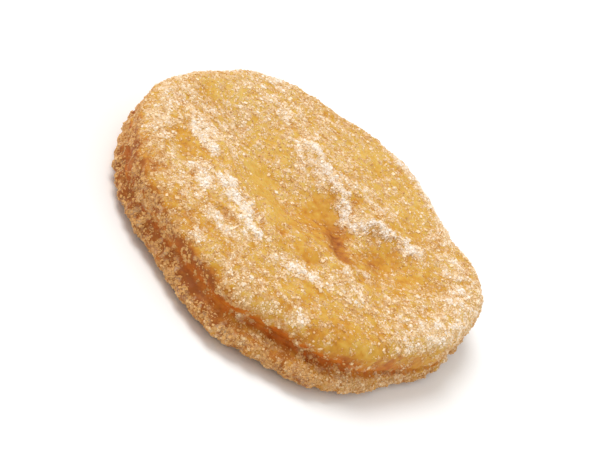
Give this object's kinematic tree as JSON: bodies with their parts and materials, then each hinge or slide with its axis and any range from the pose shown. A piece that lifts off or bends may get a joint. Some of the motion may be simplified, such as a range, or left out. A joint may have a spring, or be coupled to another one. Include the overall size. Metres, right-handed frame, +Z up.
{
  "type": "beignet",
  "caption": "Flat round fried beignet: two sheets of dough sealed at a fluted lip, with a folded hollow across its sugared top.",
  "frame": {"origin": "middle of the outline, at the height of the flat ring that the beignet rests on", "axes": "+Z up out of the sugared top; -Y towards the side where the lower sheet's lip stands out most"},
  "size_m": [0.0958, 0.0944, 0.0172],
  "materials": {
    "crust": "golden fried dough, unevenly browned, with a slight oily sheen where the sugar is thin",
    "sugar": "fine crystals of sugar, whitish where it has drifted and tan where it is thin"
  },
  "bodies": {
    "root": {"beignet": "crust"}
  },
  "joints": []
}
